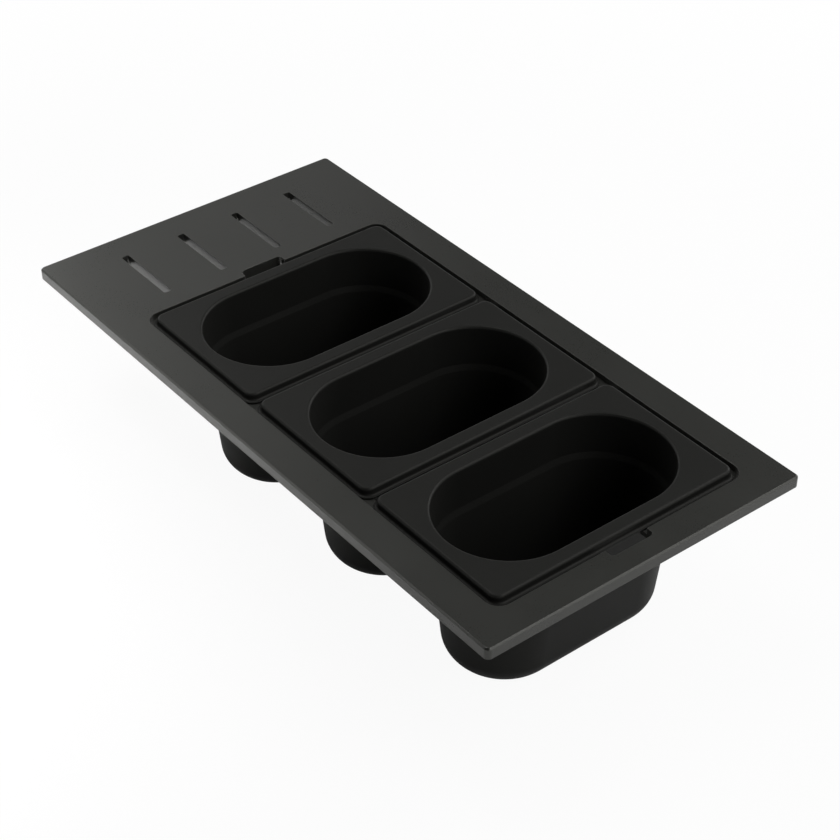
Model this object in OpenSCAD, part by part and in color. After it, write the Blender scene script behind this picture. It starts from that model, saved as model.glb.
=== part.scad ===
// Sink insert: a flat frame with four knife slots at one end and three lift-out containers that
// hang in its opening by their flanges. Millimetres, +Z up, Z = 0 where the containers stand.
// The frame's centre is at X = 0, Y = 0; the knife slots are at its +Y end.

/* [Container] */
// Flange size across the frame (X)
flange_l = 176; // [172:1:190]
// Flange size along the frame (Y)
flange_w = 108; // [104:1:120]
// Corner radius of the flange
flange_r = 8; // [7:0.5:12]
// Overall height, from the base to the top of the rim
container_h = 103.2; // [65:0.2:150]
// Height of the rim above the underside of the flange
rim_h = 6; // [5:0.1:8]
// Thickness of the flange lip that lies on the ledge
lip_t = 2.3; // [1.5:0.1:3]
// Width of the lip outside the raised rim
lip_w = 2.1; // [1.5:0.1:3.5]
// Fillet on the rim's outer and inner top edges
rim_fillet = 1.8; // [0.5:0.1:2]
// Hollow fillet between the rim's side and the lip
rim_foot = 1.5; // [0.5:0.1:1.8]

/* [Well] */
// Length of the well at the rim (X), end to end of the rounded ends
well_l = 152.2; // [130:0.2:156]
// Width of the well at the rim (Y), which sets its end radius
well_w = 83.2; // [76:0.2:88]
// Depth of the stacking step's upper edge below the rim top
step_z = 27.1; // [15:0.1:35]
// Height of the stacking step's sloped band
step_h = 4; // [2:0.1:8]
// How far the wall steps in over that band
step_in = 1.45; // [0.5:0.05:3]
// Slope of the wall above the step, inward in mm per mm of depth
draft_top = 0.018; // [0:0.001:0.05]
// Slope of the wall below the step, inward in mm per mm of depth
draft_low = 0.1; // [0.02:0.005:0.12]
// Wall thickness of the container
wall = 1.5; // [1:0.1:3]
// Thickness of the container's base
base_t = 1.5; // [1:0.1:4]
// Outside radius between wall and base
base_r = 17; // [8:0.5:22]

/* [Frame] */
// Thickness of the frame
board_t = 7.2; // [6.2:0.1:12]
// Width of the frame beside the opening (X)
side_rail = 22.25; // [14:0.25:40]
// Width of the frame at the plain end of the opening (Y)
end_rail = 20.15; // [12:0.05:40]
// Width of the frame at the end with the knife slots (Y)
slot_rail = 88.25; // [80:0.05:140]
// Vertical corner radius of the frame
board_r = 3.2; // [2:0.1:20]
// Chamfer round the frame's top edge
board_chamfer = 1; // [0.4:0.1:1.5]
// Depth of the ledge the flanges lie on, below the frame's top
ledge_z = 4; // [3:0.1:4.8]
// Corner radius of the opening above the ledge
open_r = 9; // [8:0.5:14]
// Corner radius of the opening inside the ledge
ledge_r = 8; // [4:0.5:14]

/* [Fits] */
// Gap between two neighbouring flanges
flange_gap = 2.3; // [1:0.1:6]
// Gap between the flanges and each end of the opening
end_gap = 2.5; // [1:0.1:6]
// Gap between the flanges and each side of the opening
side_gap = 1.75; // [0.75:0.05:5]
// Gap between the container bodies and the ledge's inner edge
body_gap = 4.2; // [2:0.1:5]

/* [Knife slots] */
// Length of a knife slot (Y)
slot_l = 51; // [30:0.5:60]
// Width of a knife slot (X)
slot_w = 5; // [3:0.1:10]
// Distance from one slot to the next
slot_pitch = 41.7; // [30:0.1:48]
// Distance from the frame's end to the slots
slot_edge = 22; // [10:0.5:30]
// Corner radius of the slots
slot_r = 1.5; // [0.5:0.1:1.5]

/* [Finger notches] */
// Width of the notch at each end of the opening
notch_w = 30; // [20:0.5:60]
// How far the notch runs back from the opening's edge
notch_d = 6; // [3:0.1:10]
// Corner radius of the notches
notch_r = 3; // [1:0.1:3]

/* [Hidden] */
$fn = 60;

pitch = flange_w + flange_gap;
open_x = flange_l + 2 * side_gap;
open_y = 3 * flange_w + 2 * flange_gap + 2 * end_gap;
board_x = open_x + 2 * side_rail;
board_y = end_rail + open_y + slot_rail;
open_cy = (end_rail - slot_rail) / 2;

rim_top = container_h;
ledge_top = container_h - rim_h;
lip_top = ledge_top + lip_t;
board_top = ledge_top + ledge_z;
board_low = board_top - board_t;

well_r = well_w / 2;
well_a = (well_l - well_w) / 2;
through_x = well_l + 2 * wall + 2 * body_gap;
through_y = 2 * pitch + well_w + 2 * wall + 2 * body_gap;

step_up_z = rim_top - step_z;
step_low_z = step_up_z - step_h;
step_up_r = well_r - draft_top * step_z;
step_low_r = step_up_r - step_in;
floor_r = step_low_r - draft_low * (step_low_z - base_t);
base_out_r = step_low_r + wall - draft_low * step_low_z;
rim_l = flange_l - 2 * lip_w;
rim_w = flange_w - 2 * lip_w;
rim_r = flange_r - lip_w;
over = 2;

module rounded_rect(x, y, r) {
    union() {
        square([x - 2 * r, y], center = true);
        square([x, y - 2 * r], center = true);
        for (sx = [-1, 1], sy = [-1, 1])
            translate([sx * (x / 2 - r), sy * (y / 2 - r)]) circle(r = r);
    }
}

// Half of a section whose sloped side meets a flat base in a radius: base at z, side at side_r there.
module rounded_foot(z, side_r, slope, r, top_z, top_r) {
    k = sqrt(1 + slope * slope);
    cx = side_r + slope * r - r * k;
    union() {
        polygon([[0, z], [cx, z], [cx, z + r], [cx + r / k, z + r - r * slope / k], [top_r, top_z], [0, top_z]]);
        intersection() {
            translate([cx, z + r]) circle(r = r);
            translate([cx, z]) square([r, r]);
        }
    }
}

// Sweeps a half section round the stadium shared by the body and the well.
module round_stadium(a) {
    union() {
        translate([a, 0, 0]) rotate([0, 0, -90]) rotate_extrude(angle = 180) children();
        translate([-a, 0, 0]) rotate([0, 0, 90]) rotate_extrude(angle = 180) children();
        for (s = [0, 1]) mirror([0, s, 0])
            rotate([90, 0, 90]) translate([0, 0, -a]) linear_extrude(2 * a) children();
    }
}

module body_section() {
    union() {
        rounded_foot(0, base_out_r, draft_low, base_r, step_low_z, step_low_r + wall);
        polygon([[0, step_low_z], [step_low_r + wall, step_low_z], [step_up_r + wall, step_up_z],
                 [well_r + wall, ledge_top + 1], [0, ledge_top + 1]]);
    }
}

module well_section() {
    union() {
        rounded_foot(base_t, floor_r, draft_low, base_r - wall, step_low_z, step_low_r);
        polygon([[0, step_low_z], [step_low_r, step_low_z], [step_up_r, step_up_z],
                 [well_r, rim_top], [0, rim_top]]);
        difference() {
            translate([0, rim_top - rim_fillet]) square([well_r + rim_fillet, rim_fillet + over]);
            translate([well_r + rim_fillet, rim_top - rim_fillet]) circle(r = rim_fillet);
        }
    }
}

// Quarter-round strip that is cut from the rim's outer top edge.
module rim_edge_section() {
    difference() {
        translate([rim_r - rim_fillet, rim_top - rim_fillet]) square([rim_fillet + over, rim_fillet + over]);
        translate([rim_r - rim_fillet, rim_top - rim_fillet]) circle(r = rim_fillet);
    }
}

// Hollow strip that is added between the rim's side and the lip, with its root inside both.
module rim_foot_section() {
    difference() {
        translate([rim_r - rim_foot, lip_top - lip_t / 2]) square([2 * rim_foot, rim_foot + lip_t / 2]);
        translate([rim_r + rim_foot, lip_top + rim_foot]) circle(r = rim_foot);
    }
}

// Sweeps a section round the rim; the section is measured out from the centre of the rim's corners.
module round_rim() {
    cx = rim_l / 2 - rim_r;
    cy = rim_w / 2 - rim_r;
    for (q = [[1, 1, 0], [-1, 1, 90], [-1, -1, 180], [1, -1, 270]])
        translate([q[0] * cx, q[1] * cy, 0]) rotate([0, 0, q[2]])
            rotate_extrude(angle = 90) children();
    for (s = [0, 180]) rotate([0, 0, s]) {
        translate([0, cy, 0]) rotate([90, 0, 90]) translate([0, 0, -cx])
            linear_extrude(2 * cx) children();
        translate([cx, 0, 0]) rotate([90, 0, 0]) translate([0, 0, -cy])
            linear_extrude(2 * cy) children();
    }
}

module container() {
    difference() {
        union() {
            translate([0, 0, ledge_top]) linear_extrude(lip_t) rounded_rect(flange_l, flange_w, flange_r);
            translate([0, 0, ledge_top]) linear_extrude(rim_h) rounded_rect(rim_l, rim_w, rim_r);
            round_rim() rim_foot_section();
            round_stadium(well_a) body_section();
        }
        round_stadium(well_a) well_section();
        round_rim() rim_edge_section();
    }
}

module board_section(half) {
    polygon([[-half, board_low], [half, board_low], [half, board_top - board_chamfer],
             [half - board_chamfer, board_top], [board_chamfer - half, board_top],
             [-half, board_top - board_chamfer]]);
}

module board() {
    sx = board_x - 2 * board_r;
    sy = board_y - 2 * board_r;
    union() {
        rotate([90, 0, 90]) translate([0, 0, -sx / 2]) linear_extrude(sx) board_section(board_y / 2);
        rotate([90, 0, 0]) translate([0, 0, -sy / 2]) linear_extrude(sy) board_section(board_x / 2);
        for (q = [[1, 1, 0], [-1, 1, 90], [-1, -1, 180], [1, -1, 270]])
            translate([q[0] * sx / 2, q[1] * sy / 2, 0]) rotate([0, 0, q[2]])
                rotate_extrude(angle = 90)
                    polygon([[0, board_low], [board_r, board_low], [board_r, board_top - board_chamfer],
                             [board_r - board_chamfer, board_top], [0, board_top]]);
    }
}

module knife_slots() {
    for (i = [-1.5:1:1.5])
        translate([i * slot_pitch, board_y / 2 - slot_edge - slot_l / 2, board_low - over])
            linear_extrude(board_t + 2 * over) rounded_rect(slot_w, slot_l, slot_r);
}

// One notch at each end, cut through the ledge as well so that a finger reaches under the flange.
module finger_notches() {
    reach = open_y + 2 * notch_d;
    translate([0, open_cy, board_low - over])
        linear_extrude(board_t + 2 * over) rounded_rect(notch_w, reach, notch_r);
}

module frame() {
    color([0.075, 0.078, 0.075]) difference() {
        board();
        translate([0, open_cy, ledge_top])
            linear_extrude(ledge_z + over) rounded_rect(open_x, open_y, open_r);
        translate([0, open_cy, board_low - over])
            linear_extrude(board_t + 2 * over) rounded_rect(through_x, through_y, ledge_r);
        finger_notches();
        knife_slots();
    }
}

module container_back() {
    color([0.035, 0.036, 0.035]) translate([0, open_cy + pitch, 0]) container();
}

module container_middle() {
    color([0.035, 0.036, 0.035]) translate([0, open_cy, 0]) container();
}

module container_front() {
    color([0.035, 0.036, 0.035]) translate([0, open_cy - pitch, 0]) container();
}

frame();
container_back();
container_middle();
container_front();
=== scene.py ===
import math
import bpy
import bmesh
from mathutils import Matrix, Vector


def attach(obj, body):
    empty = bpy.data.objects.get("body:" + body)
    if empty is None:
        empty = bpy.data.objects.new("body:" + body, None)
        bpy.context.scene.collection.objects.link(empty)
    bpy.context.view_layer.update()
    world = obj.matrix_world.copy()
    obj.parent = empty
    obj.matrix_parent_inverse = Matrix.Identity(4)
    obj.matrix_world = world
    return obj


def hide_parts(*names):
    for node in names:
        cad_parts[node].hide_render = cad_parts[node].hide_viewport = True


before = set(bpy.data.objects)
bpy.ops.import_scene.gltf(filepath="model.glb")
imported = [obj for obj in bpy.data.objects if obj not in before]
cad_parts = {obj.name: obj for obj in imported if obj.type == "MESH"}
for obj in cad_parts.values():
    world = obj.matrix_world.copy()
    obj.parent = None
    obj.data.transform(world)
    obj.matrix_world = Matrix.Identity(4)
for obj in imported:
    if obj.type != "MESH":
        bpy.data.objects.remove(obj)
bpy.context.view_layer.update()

MM = 0.001

# Camera: position, direction and lens of the photograph, in the frame's own axes.
CAMERA_AT = Vector((-596.4, -781.1, 811.3)) * MM
CAMERA_PITCH, CAMERA_YAW = 37.40, 38.26
CAMERA_LENS, CAMERA_SENSOR = 87.98, 36.0
CAMERA_NEAR, CAMERA_FAR = 0.05, 50.0

# Sizes in millimetres, as in the part's source. Only the lip is thinner here, as the photograph shows it.
FLANGE_L, FLANGE_W, FLANGE_R = 176.0, 108.0, 8.0
LIP_T, LIP_W = 1.2, 2.1
WELL_L, WELL_W = 152.2, 83.2
STEP_Z, STEP_H, STEP_IN = 27.1, 4.0, 1.45
DRAFT_TOP, DRAFT_LOW = 0.018, 0.1
WALL, BASE_T, BASE_R = 1.5, 1.5, 17.0
RIM_TOP, LEDGE_TOP, BOARD_TOP, BOARD_LOW = 103.2, 97.2, 101.2, 94.0
RIM_FILLET, RIM_FOOT = 1.8, 1.5
BOARD_X, BOARD_Y, BOARD_R, CHAMFER = 224.0, 442.0, 3.2, 1.0
OPEN_X, OPEN_Y, OPEN_R, OPEN_AT = 179.5, 333.6, 9.0, -34.05
THROUGH_X, THROUGH_Y, THROUGH_R = 163.6, 315.2, 8.0
NOTCH_W, NOTCH_D, NOTCH_R, NOTCH_LEAN = 30.0, 6.0, 3.0, 0.6
SLOTS, SLOT_W, SLOT_L, SLOT_R, SLOT_PITCH, SLOT_AT = 4, 5.0, 51.0, 1.5, 41.7, 173.5
PITCH = 110.3

# Radii of the softened edges that are too fine for the part's source.
MOULD_EDGE, FRAME_EDGE, STEP_EDGE, NOTCH_EDGE = 0.2, 0.25, 0.6, 0.8

# Flat strips that a section carries beyond its last edge, where the flat areas are filled in later.
WIDE_STRIP, NARROW_STRIP = 1.0, 0.5

# Facets per radian of a bend of 1 mm radius, across a rounded edge and along a turn. An edge sharper than
# SHARP keeps its crease, points closer than MERGE become one, and SLACK widens a search for points.
EDGE_FACETS, TURN_FACETS = 2.4, 3.3
SHARP = math.radians(38)
MERGE, SLACK = 0.002, 1.0

# Grain of the plastic's skin and flow marks of the mould: marks per metre, depth in metres, and how far
# each changes the colour and the roughness.
GRAIN_SCALE, GRAIN_DETAIL, GRAIN_DEPTH, GRAIN_STRENGTH = 1500.0, 2.0, 0.00003, 0.5
FLOW_SCALE, FLOW_DETAIL, FLOW_TWIST = 14.0, 4.0, 0.8
FLOW_IN_TONE, GRAIN_IN_TONE, TONE_START, TONE_GAIN = 0.7, 0.3, 0.25, 2.0
FLOW_IN_ROUGHNESS, GRAIN_IN_ROUGHNESS = 0.08, 0.1
GLOSS_TINT = (1.0, 1.0, 0.95, 1.0)

# Studio, in metres: the round floor with its turned-up edge, and how much of the object's shadow the
# camera and the gloss see, fully up to SHADOW_NEAR from the centre and not at all past SHADOW_FAR.
FLOOR_R, FLOOR_TURN, WALL_H, FLOOR_GAP = 8.0, 1.2, 2.4, 0.0001
FLOOR_STEPS, FLOOR_TURN_STEPS = 64, 8
FLOOR_MATT = (0.8, 0.8, 0.8, 1.0)
WHITE = (1.0, 1.0, 1.0, 1.0)
SHADOW_NEAR, SHADOW_FAR, SHADOW_SEEN, SHADOW_IN_GLOSS = 0.4, 0.9, 0.06, 0.9
WORLD_STRENGTH = 0.02

# Round soft lamps, all of one width and at one distance from the point they light.
# Compass direction from the slotted end towards +X, height in degrees, and power.
LIT_CENTRE = Vector((0, 0, 0.09))
LAMP_DISTANCE, LAMP_WIDTH = 1.6, 0.8
LAMPS = (
    ("window_behind", 0, 30, 3.08),
    ("far_glow", 22, 30, 0.59),
    ("far_right_glow", 45, 30, 0.12),
    ("window_right", 90, 30, 5.8),
    ("high_right", 100, 52, 3.8),
    ("near_glow", 140, 30, 2.1),
    ("window_left", 315, 30, 2.2),
    ("front_fill", 180, 30, 3.5),
    ("front_right", 150, 50, 7.0),
    ("ceiling", 0, 70, 6.47),
)

# A gridded lamp that brightens the floor to the left, which the frame's left side and slots reflect.
WASH_AT = Vector((-0.42, 0.23, 0.6))
WASH_WIDTH, WASH_POWER, WASH_SPREAD = 0.45, 1.65, math.radians(60)


# Geometry


class Sweep:
    """A section carried along straight runs and round turns, which leaves its surface behind.

    A section's corners are (out, z, radius), with out measured to the right of the heading.
    """

    def __init__(self, bm, section, at, heading):
        self.bm, self.at, self.heading = bm, Vector((*at, 0)), math.radians(heading)
        points = [self.at + self.right() * out + Vector((0, 0, z)) for out, z, _ in section]
        verts = [bm.verts.new(point) for point in points]
        for pair in zip(verts, verts[1:]):
            bm.edges.new(pair)
        bends = zip(verts[1:], points, points[1:], points[2:], section[1:])
        for vert, before, here, after, (_, _, radius) in bends:
            if radius:
                self.round_corner(vert, radius, (here - before).angle(after - here))
        self.edges = [e for e in bm.edges if e.is_wire]

    def round_corner(self, vert, radius, turned):
        bmesh.ops.bevel(self.bm, geom=[vert], offset=radius * math.tan(turned / 2), offset_type="OFFSET",
                        segments=max(3, round(turned * EDGE_FACETS * math.sqrt(radius) + 1)), profile=0.5,
                        affect="VERTICES", material=-1)

    def ahead(self):
        return Vector((math.cos(self.heading), math.sin(self.heading), 0))

    def right(self):
        return Vector((math.sin(self.heading), -math.cos(self.heading), 0))

    def keep_last(self, geom):
        self.edges = [e for e in geom if isinstance(e, bmesh.types.BMEdge)]
        ends = {v for e in self.edges for v in e.verts}
        return list(ends)

    def run(self, length):
        if length > MERGE:
            grown = bmesh.ops.extrude_edge_only(self.bm, edges=self.edges)["geom"]
            fresh = {v for v in grown if isinstance(v, bmesh.types.BMVert)}
            verts = self.keep_last([e for e in grown if isinstance(e, bmesh.types.BMEdge)
                                    and fresh.issuperset(e.verts)])
            bmesh.ops.translate(self.bm, vec=self.ahead() * length, verts=verts)
            self.at += self.ahead() * length
        return self

    def turn(self, radius, degrees):
        side = math.copysign(radius, degrees)
        centre = self.at - self.right() * side
        angle = math.radians(degrees)
        verts = list({v for e in self.edges for v in e.verts})
        last = bmesh.ops.spin(self.bm, geom=verts + self.edges, cent=centre, axis=(0, 0, 1), angle=angle,
                              steps=max(4, round(abs(angle) * TURN_FACETS * math.sqrt(radius))))["geom_last"]
        self.keep_last(last)
        self.at = centre + Matrix.Rotation(angle, 3, "Z") @ (self.at - centre)
        self.heading += angle
        return self


def sweep_rounded(bm, section, x, y, r, centre=(0, 0)):
    """Carries a section round a rounded rectangle, or round a stadium where 2 r is its width."""
    path = Sweep(bm, section, (centre[0] - x / 2 + r, centre[1] - y / 2), 0)
    for length in (x - 2 * r, y - 2 * r) * 2:
        path.run(length).turn(r, 90)


def sweep_notched(bm, section, x, y, r):
    """Carries a section round a rounded rectangle with a finger notch in the middle of each end.

    The notches of both levels of the opening reach the same end, so their side runs share vertices.
    """
    path = Sweep(bm, section, (-x / 2 + r, OPEN_AT - y / 2), 0)
    along = x / 2 - r - NOTCH_W / 2 - NOTCH_EDGE
    shared = NOTCH_D - NOTCH_EDGE - NOTCH_R
    own = OPEN_Y / 2 + NOTCH_D - y / 2 - NOTCH_EDGE - NOTCH_R - shared
    for _ in range(2):
        path.run(along).turn(NOTCH_EDGE, -90).run(own).run(shared).turn(NOTCH_R, 90)
        path.run(NOTCH_W - 2 * NOTCH_R).turn(NOTCH_R, 90).run(shared).run(own).turn(NOTCH_EDGE, -90)
        path.run(along).turn(r, 90).run(y - 2 * r).turn(r, 90)


def fill_level(bm, z):
    """Fills the flat area between the open loops at one height."""
    rim = [e for e in bm.edges if e.is_boundary and all(abs(v.co.z - z) < MERGE for v in e.verts)]
    bmesh.ops.triangle_fill(bm, edges=rim, use_beauty=True, normal=(0, 0, 1))


def close_shape(bm, levels):
    bmesh.ops.remove_doubles(bm, verts=bm.verts, dist=MERGE)
    for z in levels:
        fill_level(bm, z)
    bmesh.ops.recalc_face_normals(bm, faces=bm.faces)
    for face in bm.faces:
        face.smooth = True
    for edge in bm.edges:
        edge.smooth = edge.calc_face_angle() < SHARP


def container_shape(bm):
    lip = [(-WIDE_STRIP, LEDGE_TOP, 0), (0, LEDGE_TOP, MOULD_EDGE), (0, LEDGE_TOP + LIP_T, MOULD_EDGE),
           (-LIP_W, LEDGE_TOP + LIP_T, RIM_FOOT), (-LIP_W, RIM_TOP, RIM_FILLET),
           (-LIP_W - RIM_FILLET - MOULD_EDGE, RIM_TOP, 0)]
    step_up, step_low = RIM_TOP - STEP_Z, RIM_TOP - STEP_Z - STEP_H
    up_in = DRAFT_TOP * STEP_Z
    low_in = up_in + STEP_IN
    floor_in = low_in + DRAFT_LOW * (step_low - BASE_T)
    foot_in = low_in + DRAFT_LOW * step_low
    well = [(RIM_FILLET + MOULD_EDGE, RIM_TOP, 0), (0, RIM_TOP, RIM_FILLET), (-up_in, step_up, STEP_EDGE),
            (-low_in, step_low, STEP_EDGE), (-floor_in, BASE_T, BASE_R - WALL),
            (-floor_in - BASE_R + WALL, BASE_T, 0)]
    body = [(WALL, LEDGE_TOP, 0), (WALL - up_in, step_up, STEP_EDGE), (WALL - low_in, step_low, STEP_EDGE),
            (WALL - foot_in, 0, BASE_R), (WALL - foot_in - BASE_R, 0, 0)]
    sweep_rounded(bm, lip, FLANGE_L, FLANGE_W, FLANGE_R)
    sweep_rounded(bm, well, WELL_L, WELL_W, WELL_W / 2)
    sweep_rounded(bm, body, WELL_L, WELL_W, WELL_W / 2)
    close_shape(bm, (RIM_TOP, LEDGE_TOP, BASE_T, 0))


def lean_notch_ends(bm):
    """Leans each finger notch's end wall inwards towards its foot, which narrows the view through the notch
    to the floor below.
    """
    end = OPEN_Y / 2 + NOTCH_D - NOTCH_R
    for side in (-1, 1):
        foot = [v for v in bm.verts if v.co.z < LEDGE_TOP - SLACK and abs(v.co.x) < NOTCH_W / 2 + SLACK
                and side * (v.co.y - OPEN_AT) > end - MERGE]
        # The foot of each notch's end wall moves in, so that less of the floor shows through the notch.
        bmesh.ops.translate(bm, vec=(0, -side * NOTCH_LEAN, 0), verts=foot)


def frame_shape(bm):
    top_strip, low_strip = (NARROW_STRIP, BOARD_TOP, 0), (NARROW_STRIP, BOARD_LOW, 0)
    side = [(-WIDE_STRIP, BOARD_LOW, 0), (0, BOARD_LOW, FRAME_EDGE), (0, BOARD_TOP - CHAMFER, FRAME_EDGE),
            (-CHAMFER, BOARD_TOP, FRAME_EDGE), (-CHAMFER - NARROW_STRIP, BOARD_TOP, 0)]
    opening = [top_strip, (0, BOARD_TOP, FRAME_EDGE), (0, LEDGE_TOP, 0)]
    through = [(0, LEDGE_TOP, 0), (0, BOARD_LOW, FRAME_EDGE), low_strip]
    slot = [top_strip, (0, BOARD_TOP, FRAME_EDGE), (0, BOARD_LOW, FRAME_EDGE), low_strip]
    sweep_rounded(bm, side, BOARD_X, BOARD_Y, BOARD_R)
    sweep_notched(bm, opening, OPEN_X, OPEN_Y, OPEN_R)
    sweep_notched(bm, through, THROUGH_X, THROUGH_Y, THROUGH_R)
    for i in range(SLOTS):
        sweep_rounded(bm, slot, SLOT_W, SLOT_L, SLOT_R, ((i - (SLOTS - 1) / 2) * SLOT_PITCH, SLOT_AT))
    lean_notch_ends(bm)
    close_shape(bm, (BOARD_TOP, LEDGE_TOP, BOARD_LOW))


def make_piece(name, shape, material, at=0.0):
    bm = bmesh.new()
    shape(bm)
    bmesh.ops.translate(bm, vec=(0, at, 0), verts=bm.verts)
    bmesh.ops.scale(bm, vec=(MM, MM, MM), verts=bm.verts)
    mesh = bpy.data.meshes.new(name)
    bm.to_mesh(mesh)
    bm.free()
    mesh.materials.append(material)
    piece = bpy.data.objects.new(name, mesh)
    bpy.context.scene.collection.objects.link(piece)
    even = piece.modifiers.new("even_normals", "WEIGHTED_NORMAL")
    even.mode, even.keep_sharp = "FACE_AREA_WITH_ANGLE", True
    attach(piece, "root")
    return piece


# Camera


def add_camera():
    data = bpy.data.cameras.new("photo_camera")
    data.lens = CAMERA_LENS
    data.sensor_width = CAMERA_SENSOR
    data.clip_start, data.clip_end = CAMERA_NEAR, CAMERA_FAR
    camera = bpy.data.objects.new("photo_camera", data)
    camera.location = CAMERA_AT
    camera.rotation_euler = (math.radians(90 - CAMERA_PITCH), 0, math.radians(-CAMERA_YAW))
    bpy.context.scene.collection.objects.link(camera)
    bpy.context.scene.camera = camera


# Shader maths


class Value:
    """A socket or number that Python's operators turn into Math nodes."""

    def __init__(self, tree, socket):
        self.tree, self.socket = tree, socket

    def math(self, operation, *others, clamp=False):
        node = self.tree.nodes.new("ShaderNodeMath")
        node.operation, node.use_clamp = operation, clamp
        for slot, item in zip(node.inputs, (self, *others)):
            connect(self.tree, slot, item)
        return Value(self.tree, node.outputs[0])

    def __add__(self, other):
        return self.math("ADD", other)

    def __radd__(self, other):
        return self.math("ADD", other)

    def __sub__(self, other):
        return self.math("SUBTRACT", other)

    def __rsub__(self, other):
        return Value(self.tree, other).math("SUBTRACT", self)

    def __mul__(self, other):
        return self.math("MULTIPLY", other)

    def __rmul__(self, other):
        return self.math("MULTIPLY", other)


def connect(tree, slot, item):
    source = item.socket if isinstance(item, Value) else item
    if isinstance(source, bpy.types.NodeSocket):
        tree.links.new(source, slot)
    else:
        slot.default_value = source


class Shader:
    """A new material whose nodes are made by one method."""

    def __init__(self, name):
        self.material = bpy.data.materials.new(name)
        self.material.use_nodes = True
        self.tree = self.material.node_tree
        self.tree.nodes.clear()

    def node(self, kind, settings=None, inputs=None, output=0):
        made = self.tree.nodes.new(kind)
        for key, value in (settings or {}).items():
            setattr(made, key, value)
        for key, item in (inputs or {}).items():
            connect(self.tree, made.inputs[key], item)
        return Value(self.tree, made.outputs[output])

    def finish(self, surface):
        end = self.tree.nodes.new("ShaderNodeOutputMaterial")
        connect(self.tree, end.inputs["Surface"], surface)
        return self.material


def plastic(name, deep, pale, roughness, specular):
    """Satin moulded plastic: a fine grained skin, faint flow marks and two close tones of one colour."""
    s = Shader(name)
    where = s.node("ShaderNodeTexCoord", output="Object")
    grain = s.node("ShaderNodeTexNoise", inputs={
        "Vector": where, "Scale": GRAIN_SCALE, "Detail": GRAIN_DETAIL}, output="Fac")
    flow = s.node("ShaderNodeTexNoise", inputs={
        "Vector": where, "Scale": FLOW_SCALE, "Detail": FLOW_DETAIL, "Distortion": FLOW_TWIST}, output="Fac")
    marks = flow * FLOW_IN_TONE + grain * GRAIN_IN_TONE - TONE_START
    tone = marks.math("MULTIPLY", TONE_GAIN, clamp=True)
    rough = roughness + (flow - 0.5) * FLOW_IN_ROUGHNESS + (grain - 0.5) * GRAIN_IN_ROUGHNESS
    colour = s.node("ShaderNodeMix", {"data_type": "RGBA"}, {0: tone, 6: (*deep, 1), 7: (*pale, 1)}, output=2)
    skin = s.node("ShaderNodeBump", inputs={
        "Strength": GRAIN_STRENGTH, "Distance": GRAIN_DEPTH, "Height": grain}, output="Normal")
    shade = s.node("ShaderNodeBsdfPrincipled", inputs={
        "Base Color": colour, "Roughness": rough, "Normal": skin,
        "Specular IOR Level": specular, "Specular Tint": GLOSS_TINT})
    return s.finish(shade)


def white_floor():
    """White to the camera and to gloss, with the object's own shadow kept near it."""
    s = Shader("white_floor")
    path = s.tree.nodes.new("ShaderNodeLightPath")
    camera = Value(s.tree, path.outputs["Is Camera Ray"])
    gloss = Value(s.tree, path.outputs["Is Glossy Ray"]).math("MAXIMUM", path.outputs["Is Transmission Ray"])
    where = s.node("ShaderNodeTexCoord", output="Object")
    away = s.node("ShaderNodeVectorMath", {"operation": "LENGTH"}, {0: where}, output="Value")
    near = s.node("ShaderNodeMapRange", {"interpolation_type": "SMOOTHSTEP"}, {
        "Value": away, "From Min": SHADOW_NEAR, "From Max": SHADOW_FAR, "To Min": 1.0, "To Max": 0.0})
    seen = camera * (1 - near * SHADOW_SEEN) + gloss * (1 - near * SHADOW_IN_GLOSS)
    glow = s.node("ShaderNodeEmission", inputs={"Color": WHITE, "Strength": 1.0})
    matt = s.node("ShaderNodeBsdfDiffuse", inputs={"Color": FLOOR_MATT})
    return s.finish(s.node("ShaderNodeMixShader", inputs={0: seen, 1: matt, 2: glow}))


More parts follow.
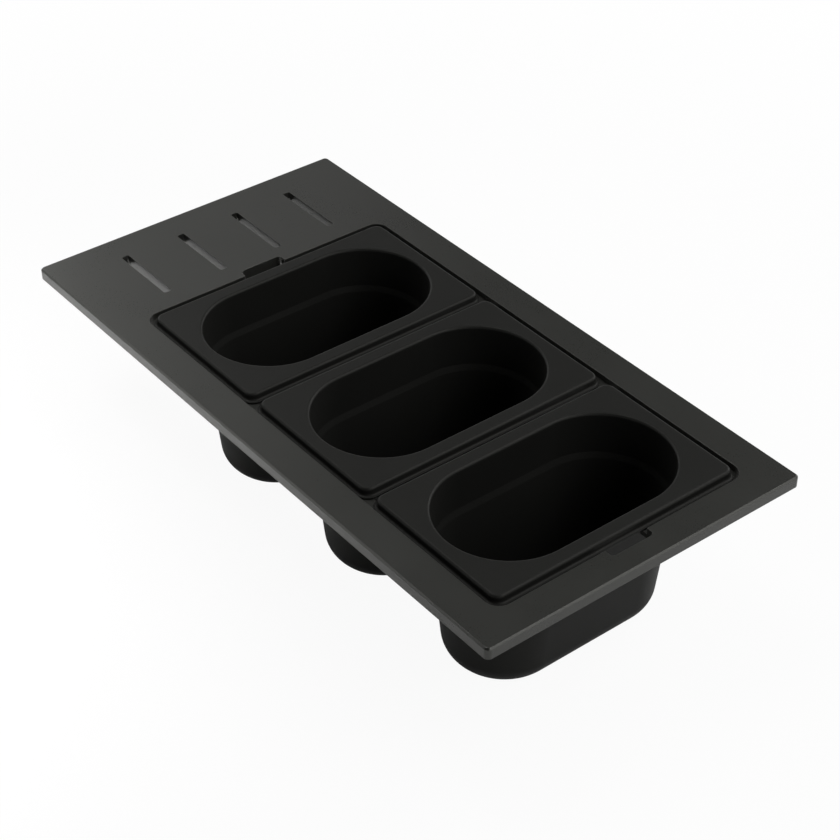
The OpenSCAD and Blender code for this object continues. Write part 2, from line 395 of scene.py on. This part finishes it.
def add_floor():
    """A round floor that turns up into a low wall all round, so that every side view has the same ground."""
    bm = bmesh.new()
    corners = [bm.verts.new(co) for co in ((0, 0, 0), (FLOOR_R, 0, 0), (FLOOR_R, 0, WALL_H))]
    for pair in zip(corners, corners[1:]):
        bm.edges.new(pair)
    bmesh.ops.bevel(bm, geom=[corners[1]], offset=FLOOR_TURN, offset_type="OFFSET",
                    segments=FLOOR_TURN_STEPS, profile=0.5, affect="VERTICES", material=-1)
    bmesh.ops.spin(bm, geom=bm.verts[:] + bm.edges[:], cent=(0, 0, 0), axis=(0, 0, 1), angle=math.tau,
                   steps=FLOOR_STEPS, use_merge=True)
    bmesh.ops.remove_doubles(bm, verts=bm.verts, dist=MERGE * MM)
    bmesh.ops.translate(bm, vec=(0, 0, -FLOOR_GAP), verts=bm.verts)
    bmesh.ops.recalc_face_normals(bm, faces=bm.faces)
    bmesh.ops.reverse_faces(bm, faces=bm.faces)
    mesh = bpy.data.meshes.new("studio_floor")
    bm.to_mesh(mesh)
    bm.free()
    mesh.materials.append(white_floor())
    floor = bpy.data.objects.new("studio_floor", mesh)
    bpy.context.scene.collection.objects.link(floor)


def add_lamp(name, at, towards, width, power, spread=math.pi):
    data = bpy.data.lights.new(name, "AREA")
    data.shape, data.size, data.energy, data.spread = "DISK", width, power, spread
    lamp = bpy.data.objects.new(name, data)
    lamp.location = at
    lamp.rotation_euler = (towards - at).to_track_quat("-Z", "Y").to_euler()
    bpy.context.scene.collection.objects.link(lamp)


def add_lamps():
    for name, azimuth, height, power in LAMPS:
        turn, rise = math.radians(azimuth), math.radians(height)
        outwards = Vector((math.sin(turn) * math.cos(rise), math.cos(turn) * math.cos(rise), math.sin(rise)))
        add_lamp(name, LIT_CENTRE + outwards * LAMP_DISTANCE, LIT_CENTRE, LAMP_WIDTH, power)
    add_lamp("floor_wash", WASH_AT, WASH_AT * Vector((1, 1, 0)), WASH_WIDTH, WASH_POWER, WASH_SPREAD)


def add_world():
    world = bpy.data.worlds.new("dim_studio")
    world.use_nodes = True
    back = world.node_tree.nodes["Background"]
    back.inputs["Color"].default_value = WHITE
    back.inputs["Strength"].default_value = WORLD_STRENGTH
    bpy.context.scene.world = world


# The object in its studio

frame_plastic = plastic("frame_plastic", deep=(0.0187, 0.0191, 0.0172), pale=(0.0213, 0.0217, 0.0196),
                        roughness=0.3, specular=0.635)
container_plastic = plastic("container_plastic", deep=(0.0107, 0.0108, 0.0099), pale=(0.0123, 0.0124, 0.0114),
                            roughness=0.44, specular=0.126)

add_camera()
add_floor()
add_world()
add_lamps()

board = make_piece("slotted_frame", frame_shape, frame_plastic)
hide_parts("frame")
for place, at in (("back", PITCH), ("middle", 0), ("front", -PITCH)):
    pan = make_piece("pan_" + place, container_shape, container_plastic, OPEN_AT + at)
    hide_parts("container_" + place)

bpy.context.scene.view_settings.view_transform = "Standard"
